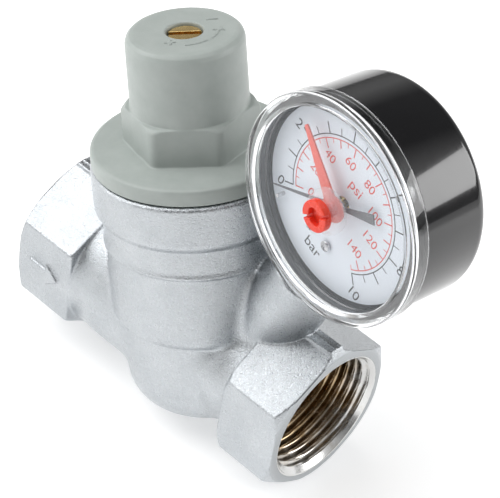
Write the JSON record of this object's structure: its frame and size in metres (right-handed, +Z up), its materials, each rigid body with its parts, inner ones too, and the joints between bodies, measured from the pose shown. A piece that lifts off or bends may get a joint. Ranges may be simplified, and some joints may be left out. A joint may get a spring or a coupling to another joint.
{
  "type": "pressure reducing valve",
  "caption": "Compact water pressure reducing valve: hexagon threaded inlet and outlet in line, inclined cartridge bonnet with adjusting screw, and a small round dial gauge on a leaning stem.",
  "frame": {"origin": "middle of the flow axis, half way between the inlet face and the outlet face", "axes": "+X along the flow from inlet to outlet, +Z up, +Y to the back; the dial faces -Y and the bonnet leans towards -X"},
  "size_m": [0.0905, 0.0388, 0.0947],
  "materials": {
    "nickel": "satin, blasted forging with machined faces",
    "brass": "machined",
    "steel": "drawn or pressed",
    "grey": "moulded, satin grey-green",
    "white": "moulded",
    "black": "glossy black",
    "clear": "clear moulded",
    "dial": "printed white",
    "red": "moulded red",
    "rubber": "moulded",
    "needle": "painted grey"
  },
  "bodies": {
    "housing": {"valve_body": "nickel", "bonnet": "grey", "main_spring": "steel", "slip_ring": "brass", "diaphragm": "rubber", "seat_cage": "white", "lower_cage_seal": "rubber", "upper_cage_seal": "rubber", "strainer": "steel", "gauge_socket": "brass", "stem_seal": "rubber", "gauge_case": "black", "gauge_lens": "clear", "gauge_dial": "dial", "dial_screw_right": "steel", "dial_screw_left": "steel", "stop_pin": "steel", "movement_frame": "brass", "bourdon_tube": "brass", "hairspring": "brass"},
    "spring_seat": {"spring_plate": "steel"},
    "screw": {"adjusting_screw": "brass"},
    "valve_core": {"valve_stem": "brass", "lower_diaphragm_plate": "brass", "upper_diaphragm_plate": "steel", "stem_top_nut": "brass", "seal_disc": "rubber", "seal_holder": "brass", "stem_bottom_nut": "brass"},
    "needle": {"gauge_needle": "needle", "pinion_arbor": "steel"},
    "sector": {"sector_gear": "brass"},
    "link": {"tip_link": "steel"},
    "setter": {"set_pointer": "red", "set_knob": "red"}
  },
  "joints": [
    {"name": "screw_travel", "type": "slide", "parent": "housing", "child": "spring_seat", "axis": [-0.247, 0, 0.969], "range_m": [-0.004, 0.0005], "deforming": ["main_spring"]},
    {"name": "screw_turn", "type": "hinge", "parent": "spring_seat", "child": "screw", "pos_m": [-0.01108, 0, 0.0562], "axis": [-0.247, 0, 0.969], "range_deg": [-1440.5, 180.5]},
    {"name": "valve_lift", "type": "slide", "parent": "housing", "child": "valve_core", "axis": [-0.247, 0, 0.969], "range_m": [0, 0.002], "stiffness_N_per_m": 2000, "springref_m": -0.005, "deforming": ["main_spring", "diaphragm"]},
    {"name": "needle_turn", "type": "hinge", "parent": "housing", "child": "needle", "pos_m": [0.0339, -0.00847, 0.05594], "axis": [0.1089, 0.9932, -0.0409], "range_deg": [0, 264.8], "stiffness_Nm_per_rad": 0.00002, "springref_deg": -57.3},
    {"name": "sector_swing", "type": "hinge", "parent": "housing", "child": "sector", "pos_m": [0.03568, -0.00437, 0.04787], "axis": [0.1089, 0.9932, -0.0409], "range_deg": [-37.9, 0]},
    {"name": "link_swing", "type": "hinge", "parent": "sector", "child": "link", "pos_m": [0.03923, -0.00374, 0.04579], "axis": [0.1089, 0.9932, -0.0409], "range_deg": [0, 37.9]},
    {"name": "setter_turn", "type": "hinge", "parent": "housing", "child": "setter", "pos_m": [0.03357, -0.01145, 0.05606], "axis": [0.1089, 0.9932, -0.0409], "range_deg": [-67, 195.5]}
  ],
  "couplings": [
    {"joint": "screw_turn", "follows": "screw_travel", "rad_per_m": 6283.2},
    {"joint": "sector_swing", "follows": "needle_turn", "ratio": -0.14286},
    {"joint": "link_swing", "follows": "needle_turn", "ratio": 0.14286}
  ]
}
